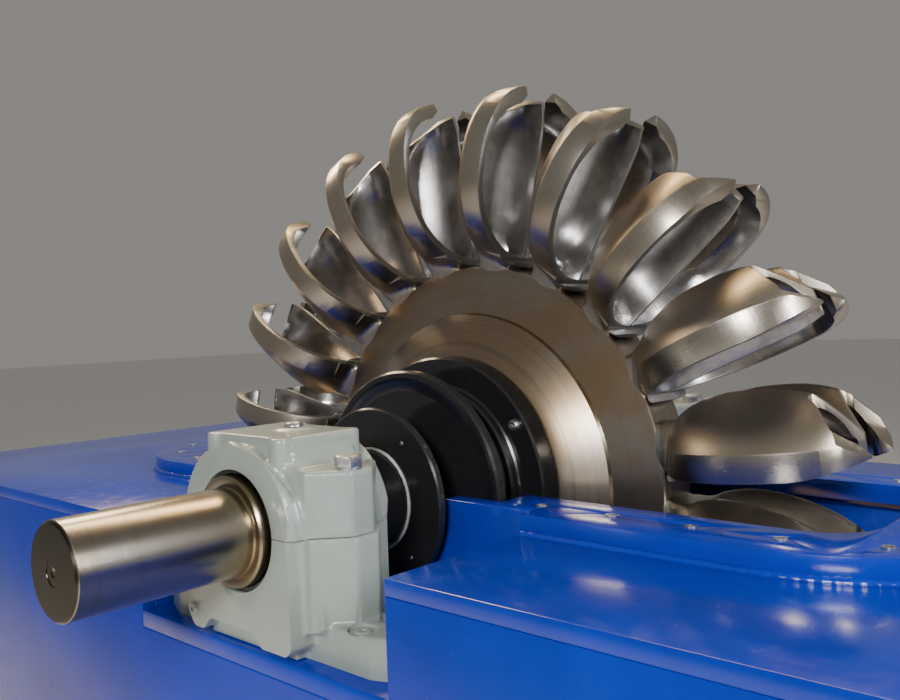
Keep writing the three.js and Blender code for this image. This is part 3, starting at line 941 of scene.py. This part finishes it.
FOOT_X, FOOT_Y, FOOT_LOW, FOOT_TOP = 0.252, 0.043, -0.152, -0.104
COLUMN_X, COLUMN_Y = 0.106, 0.081
BORE = 0.077
FOOT_BOLT = (0.173, 0.026)
CAP_BOLT_X, CAP_BOLT_Y, CAP_LUG_TOP = 0.134, -0.006, 0.080
DRAIN_X, DRAIN_Z = -0.100, -0.116
GREASE_PLUG = (0.01, 0.01)
STOCK = 0.006


def wing(name, end, root, low, high):
    """A bar along X whose four upright corners are cut off, from an end point to a root point."""
    quarter = [end, root]
    half = [(-x, y) for x, y in quarter] + [(x, y) for x, y in reversed(quarter)]
    outline = [(x, -y) for x, y in half] + list(reversed(half))
    return raised(name, outline, low, high)


def block_lumps_below():
    reach = COLUMN_Y + STOCK
    foot_end, foot_root = (FOOT_X, FOOT_Y - 0.020), (FOOT_X - 0.051, FOOT_Y)
    column = [
        (-COLUMN_X, 0.02), (-COLUMN_X, -0.132), (-0.098, -0.139), (-0.078, -0.139),
        (-0.062, -0.122), (0.028, -0.122), (0.048, -0.139), (0.096, -0.139),
        (COLUMN_X, -0.130), (COLUMN_X, 0.02)]
    rib = [(0.09, 0.02), (0.116, 0.02), (0.118, -0.030), (0.134, -0.108), (0.09, -0.108)]
    lumps = [
        wing("foot", foot_end, foot_root, FOOT_LOW - STOCK, FOOT_TOP),
        wedge("column", column, -reach, reach),
        block("column_core", (-0.09, -0.060, -0.15), (0.09, 0.060, 0.02)),
        wing("lug", (0.158, 0.018), (0.118, 0.058), FOOT_TOP - 0.01, 0.02)]
    for front in (-1, 1):
        start, end = sorted((front * 0.034, front * 0.052))
        for side in (-1, 1):
            outline = [(side * x, z) for x, z in rib]
            lumps.append(wedge(f"rib_{front}_{side}", outline, start, end))
    lumps.append(rod("drain", 0.0135, (DRAIN_X, -0.07, DRAIN_Z), (DRAIN_X, -0.125, DRAIN_Z)))
    return lumps


def block_lumps_above():
    reach, hood_half = COLUMN_Y + STOCK, 0.060
    crown = [
        (-0.080, -0.01), (0.080, -0.01), (0.080, 0.113), (0.075, 0.118), (-0.075, 0.118),
        (-0.080, 0.113)]
    slope = [(0.06, 0.108), (0.080, 0.100), (0.095, 0.080), (0.112, 0.060), (0.06, 0.0)]
    lumps = [
        rod("boss", COLUMN_X, (0, -reach, 0), (0, reach, 0), 72),
        rod("hood", 0.117, (0, -hood_half, 0), (0, hood_half, 0), 72),
        wedge("crown", crown, -hood_half, hood_half)]
    for front in (-1, 1):
        for side in (-1, 1):
            place = (side * 0.067, front * 0.055)
            lumps.append(pin(f"post_{front}_{side}", 0.0135, place, 0.04, 0.1175, 24))
        start, end = (0, front * 0.050, 0.004), (0, front * 0.074, -0.004)
        lumps.append(rod(f"arch_{front}", 0.113, start, end, 72))
        lumps.append(ball(f"nub_{front}", 0.011, (0.004 * front, front * 0.076, 0.101)))
    lumps.append(wing("cap_lugs", (0.152, 0.017), (0.114, 0.058), -0.02, CAP_LUG_TOP))
    for side in (-1, 1):
        outline = [(side * x, z) for x, z in slope]
        lumps.append(wedge(f"shoulder_{side}", outline, -0.048, 0.048))
    lumps.append(pin("grease_boss", 0.024, GREASE_PLUG, 0.10, 0.1215, 40))
    return lumps


def block_half(name, lumps, upper):
    """One half of a bearing block: cast, then machined at its joint, faces, foot and bore."""
    joint_gap = 0.0006
    body = joined(name, lumps)
    poured(body, passes=5, keep=0.32)
    way = 1 if upper else -1
    sliced(body, (0, 0, way * joint_gap), (0, 0, -way))
    for front in (-1, 1):
        sliced(body, (0, front * COLUMN_Y, 0), (0, front, 0))
    if not upper:
        sliced(body, (0, 0, FOOT_LOW), (0, 0, -1))
    cut(body, rod("bore", BORE, (0, -0.2, 0), (0, 0.2, 0), 96))
    if not upper:
        for x in (-FOOT_BOLT[0], FOOT_BOLT[0]):
            for y in (-FOOT_BOLT[1], FOOT_BOLT[1]):
                cut(body, pin("spot_face", 0.0185, (x, y), FOOT_TOP - 0.003, FOOT_TOP + 0.02, 40))
    rounded(body, width=0.0012, degrees=50)
    return smooth(body, 40)


def hexagon_bolt(name, flats, height, place, seat):
    """A hexagon head with a chamfered top and a washer under it."""
    top, flat_top = seat + height, flats * 0.475
    below, above = 0.030, 0.004
    head = pin(name, flats / math.sqrt(3), place, seat + 0.002, top, 6)
    chamfer = pin(
        "chamfer", flat_top + below, place, top - below, top + above, 48, flat_top - above)
    cut(head, chamfer, "INTERSECT")
    washer = pin(name + "_washer", flats * 0.56, place, seat - 0.0005, seat + 0.0025, 40)
    rounded(head, width=0.0008, degrees=25)
    return smooth(joined(name, [head, washer]), 30)


def lip_seal():
    """The bearing and its seals between block and shaft, seen only as a dark ring in the bore."""
    inner, outer, half = JOURNAL_RADIUS + 0.0016, BORE - 0.0002, 0.076
    profile = [(outer, -half), (outer, half), (inner, half), (inner, -half)]
    ring = turned("lip_seal", closed(profile), steps=96)
    ring.data.transform(Matrix.Translation((0, 0, -AXIS)))
    return ring


def block_details():
    """The bolts and plugs of one bearing block, each with its finish."""
    details = []
    up, forward = (0, 0, 1), (0, -1, 0)
    for side in (-1, 1):
        bolt = hexagon_bolt(
            f"cap_bolt_{side + 2}", flats=0.031, height=0.0165,
            place=(side * CAP_BOLT_X, CAP_BOLT_Y), seat=CAP_LUG_TOP - 0.0005)
        details.append((bolt, ZINC))
        for front in (-1, 1):
            at = (side * FOOT_BOLT[0], front * FOOT_BOLT[1], FOOT_TOP - 0.0032)
            plug = screw_head(
                f"foot_plug_{side + 2}_{front + 2}", radius=0.0125, height=0.0022, at=at, way=up)
            details.append((plug, GREEN))
    drain = screw_head(
        "drain_plug", radius=0.0105, height=0.004, at=(DRAIN_X, -0.0805, DRAIN_Z), way=forward)
    grease = screw_head(
        "grease_plug", radius=0.013, height=0.005, at=(*GREASE_PLUG, 0.1222), way=up)
    return details + [(drain, GREEN), (grease, ZINC)]


def bearings():
    base = block_half("base_casting", block_lumps_below(), upper=False)
    cap = block_half("cap_casting", block_lumps_above(), upper=True)
    details = block_details()
    seal = lip_seal()
    castings = (
        (base, "block_base", GREEN, "bearing_base"),
        (cap, "block_cap", GREEN, "bearing_cap"),
        (seal, "lip_seal", BLACK, "bearing_ring"))
    for side, way in SIDES:
        turn = Matrix.Rotation(0 if way < 0 else math.pi, 4, "Z")
        place = Matrix.Translation((0, way * BLOCK_Y, AXIS)) @ turn
        for source, name, finish, node in castings:
            made = copied(source, f"{name}_{side}", place)
            fitted(made, "housing", finish, "grey_green_paint", f"{node}_{side}")
        for detail, finish in details:
            made = copied(detail, f"{detail.name}_{side}", place)
            fitted(made, "housing", finish, "grey_green_paint")
    for piece in [base, cap, seal] + [detail for detail, _ in details]:
        bpy.data.objects.remove(piece)


# Housing


def plate(node):
    """A plate as the model has it, with its edges dressed so that they catch the light."""
    made = copied(frame["nodes"][node], "plate_" + node, Matrix.Identity(4))
    made.parent = None
    for key in list(made.keys()):
        del made[key]
    made.hide_render = False
    with Editing(made):
        bpy.ops.mesh.remove_doubles(threshold=1e-5)
        bpy.ops.mesh.dissolve_limited(angle_limit=math.radians(1))
    rounded(made, width=0.0018, degrees=40)
    smooth(made, 30)
    fitted(made, "housing", BLUE, "blue_paint", node)


def flange_hole_places():
    """Bolt holes along the middle of the flange: straight runs, then round the end."""
    first_hole = 0.249
    places = [(first_hole + HOLE_PITCH * i, y) for i in range(3) for y in (-HOLE_ROW, HOLE_ROW)]
    around = round(math.pi * HOLE_ROW / HOLE_PITCH)
    return places + arc(HOLE_ARC, 0, HOLE_ROW, -90, 90, around)


def pit_core():
    """The long hole over the wheel, with round corners."""
    half_length, half_width, corner = 0.642, 0.158, 0.070
    outline = []
    for x, y, first in ((1, -1, -90), (1, 1, 0), (-1, 1, 90), (-1, -1, 180)):
        centre = (x * (half_length - corner), y * (half_width - corner))
        outline += arc(*centre, corner, first, first + 90, 12)
    return raised("pit_core", outline, DECK_TOP - 0.02, DECK_TOP + 0.08)


def flange_outline(half_width, start, steps):
    """Straight sides from a place along X, and a round end towards +X."""
    round_end = arc(FLANGE_ARC, 0, half_width, -90, 90, steps)
    return [(start, -half_width), *round_end, (start, half_width)]


def cover_flange():
    spare, beyond, hole_radius, bore_radius = 0.01, 0.4, 0.0065, 0.0052
    outline = flange_outline(FLANGE_HALF_WIDTH, FLANGE_START, 64)
    slab = raised("flange_right", outline, DECK_TOP, FLANGE_TOP)
    cut(slab, pit_core())
    for _, way in SIDES:
        start, end = sorted((way * WALL_Y[0], way * beyond))
        low = (FLANGE_START - spare, start, DECK_TOP - spare)
        cut(slab, block("ledge", low, (RECESS_HALF, end, FLANGE_TOP + spare)))
    places = flange_hole_places()
    for place in places:
        cut(slab, pin("hole", hole_radius, place, DECK_TOP + 0.006, FLANGE_TOP + spare, 24))
    rounded(slab, width=0.0016, degrees=50)
    smooth(slab, 30)
    linings = []
    for place in places:
        low, high = FLANGE_TOP - 0.012, FLANGE_TOP + 0.0004
        ring = pin("lining", hole_radius + 0.001, place, low, high, 24)
        cut(ring, pin("bore", bore_radius, place, FLANGE_TOP - 0.02, FLANGE_TOP + spare, 24))
        linings.append(ring)
    lining = smooth(joined("hole_edges_right", linings), 30)
    turn = Matrix.Rotation(math.pi, 4, "Z")
    left = copied(slab, "flange_left", turn)
    left_lining = copied(lining, "hole_edges_left", turn)
    fitted(slab, "housing", BLUE, "blue_paint", "cover_flange_right")
    fitted(left, "housing", BLUE, "blue_paint", "cover_flange_left")
    for ring in (lining, left_lining):
        fitted(ring, "housing", ZINC, "polished_steel")


def weld(name, points, radius):
    """A painted weld bead along a path, whose size ripples from one weld pool to the next."""
    deselect()
    step = 0.0045
    path = [Vector(points[0])]
    for start, end in zip(points, points[1:]):
        start, end = Vector(start), Vector(end)
        count = max(1, round((end - start).length / step))
        path += [start.lerp(end, i / count) for i in range(1, count + 1)]
    line = bpy.data.curves.new(name, "CURVE")
    line.dimensions = "3D"
    spline = line.splines.new("POLY")
    spline.points.add(len(path) - 1)
    for i, (point, place) in enumerate(zip(spline.points, path)):
        point.co = (*place, 1)
        ripple, drift = 0.10 * math.sin(i * 1.9), 0.07 * math.sin(i * 0.37)
        point.radius = 1.0 + ripple + drift
    line.bevel_depth = radius
    line.bevel_resolution = 2
    line.use_fill_caps = True
    bead = bpy.data.objects.new(name, line)
    bpy.context.scene.collection.objects.link(bead)
    activate(bead)
    bpy.ops.object.convert(target="MESH")
    smooth(bead, 70)
    fitted(bead, "housing", BLUE, "blue_paint")


def welds():
    """Beads round the flange's foot, in the corners of the recesses and along the shelves."""
    stand_off, thick, thin = 0.0005, 0.0055, 0.0045
    wall, corner, shelf_end = WALL_Y[1] + stand_off, RECESS_HALF - 0.001, RECESS_HALF - 0.003
    low, high, shelf = SHELF_TOP + 0.002, DECK_TOP - 0.004, SHELF_TOP + 0.001
    foot = flange_outline(FLANGE_HALF_WIDTH + stand_off, RECESS_HALF + 0.004, 40)
    for end, sign in (("right", 1), ("left", -1)):
        weld("flange_weld_" + end, [(sign * x, y, DECK_TOP + stand_off) for x, y in foot], thick)
        for side, way in SIDES:
            line = [(sign * corner, way * wall, low), (sign * corner, way * wall, high)]
            weld(f"recess_weld_{side}_{end}", line, thin)
    for side, way in SIDES:
        line = [(-shelf_end, way * wall, shelf), (shelf_end, way * wall, shelf)]
        weld("shelf_weld_" + side, line, thin)


def housing():
    made_apart = ("bearing_base", "bearing_cap", "bearing_ring", "cover_flange")
    for node in frame["record"]["behaviour"]["bodies"]["housing"]:
        if not node.startswith(made_apart):
            plate(node)
    cover_flange()
    welds()


# Camera, floor and light


def camera():
    """The photograph's viewpoint, solved from the shaft's circles and the plates' edges."""
    yaw, roll = math.radians(-42.23), math.radians(-1.95)
    ahead = Vector((-0.672, 0.740, -0.032)).normalized()
    level = Vector((math.cos(yaw), -math.sin(yaw), 0))
    over = level.cross(ahead)
    right = level * math.cos(roll) + over * math.sin(roll)
    up = over * math.cos(roll) - level * math.sin(roll)
    data = bpy.data.cameras.new("camera")
    data.lens = 36.58
    data.shift_x, data.shift_y = -0.00573, -0.0031
    eye = bpy.data.objects.new("camera", data)
    turn = Matrix((right, up, -ahead)).transposed().to_4x4()
    eye.matrix_world = Matrix.Translation((0.9728, -1.1584, 1.1564)) @ turn
    bpy.context.scene.collection.objects.link(eye)
    bpy.context.scene.camera = eye


def pale_floor():
    """Plain pale floor paint with hardly any cloud in it."""
    shade = 0.80
    light = colour(shade, shade, shade * 0.985)
    dark = colour(shade * 0.96, shade * 0.96, shade * 0.95)
    finish = Finish("floor")
    cloud = finish.noise(finish.place(), scale=1.3)
    return finish.done(Base_Color=finish.mixed(cloud, light, dark), Roughness=0.6 + cloud * 0.1)


def studio():
    size, thickness = 30, 0.05
    floor = block("floor", (-size, -size, -thickness), (size, size, 0))
    floor.data.materials.append(pale_floor())
    world = bpy.data.worlds.new("studio")
    world.use_nodes = True
    sky = world.node_tree.nodes["Background"].inputs
    sky["Color"].default_value = colour(0.62, 0.595, 0.555)
    sky["Strength"].default_value = 0.42
    bpy.context.scene.world = world


def lamp(name, at, size, power, tint=(1, 1, 1)):
    """A soft lamp that faces the middle of the object."""
    data = bpy.data.lights.new(name, "AREA")
    data.shape = "RECTANGLE"
    data.size, data.size_y = size
    data.energy = power
    data.color = tint
    made = bpy.data.objects.new(name, data)
    at, middle = Vector(at), Vector((0, 0, 1.0))
    turn = (middle - at).to_track_quat("-Z", "Y").to_matrix().to_4x4()
    made.matrix_world = Matrix.Translation(at) @ turn
    bpy.context.scene.collection.objects.link(made)


def lights():
    lamp("key", (1.6, -2.9, 2.0), (0.8, 0.55), 95)
    lamp("overhead", (-0.9, 1.2, 4.0), (2.0, 0.6), 65, (1.0, 0.70, 0.38))
    lamp("left", (-2.5, 0.3, 3.1), (1.4, 0.8), 75, (1.0, 0.76, 0.48))
    lamp("side", (3.4, 0.2, 2.4), (0.4, 1.8), 110)


wheel()
disc()
shaft()
clamp_flanges()
slingers()
seal_discs()
bearings()
housing()
camera()
studio()
lights()
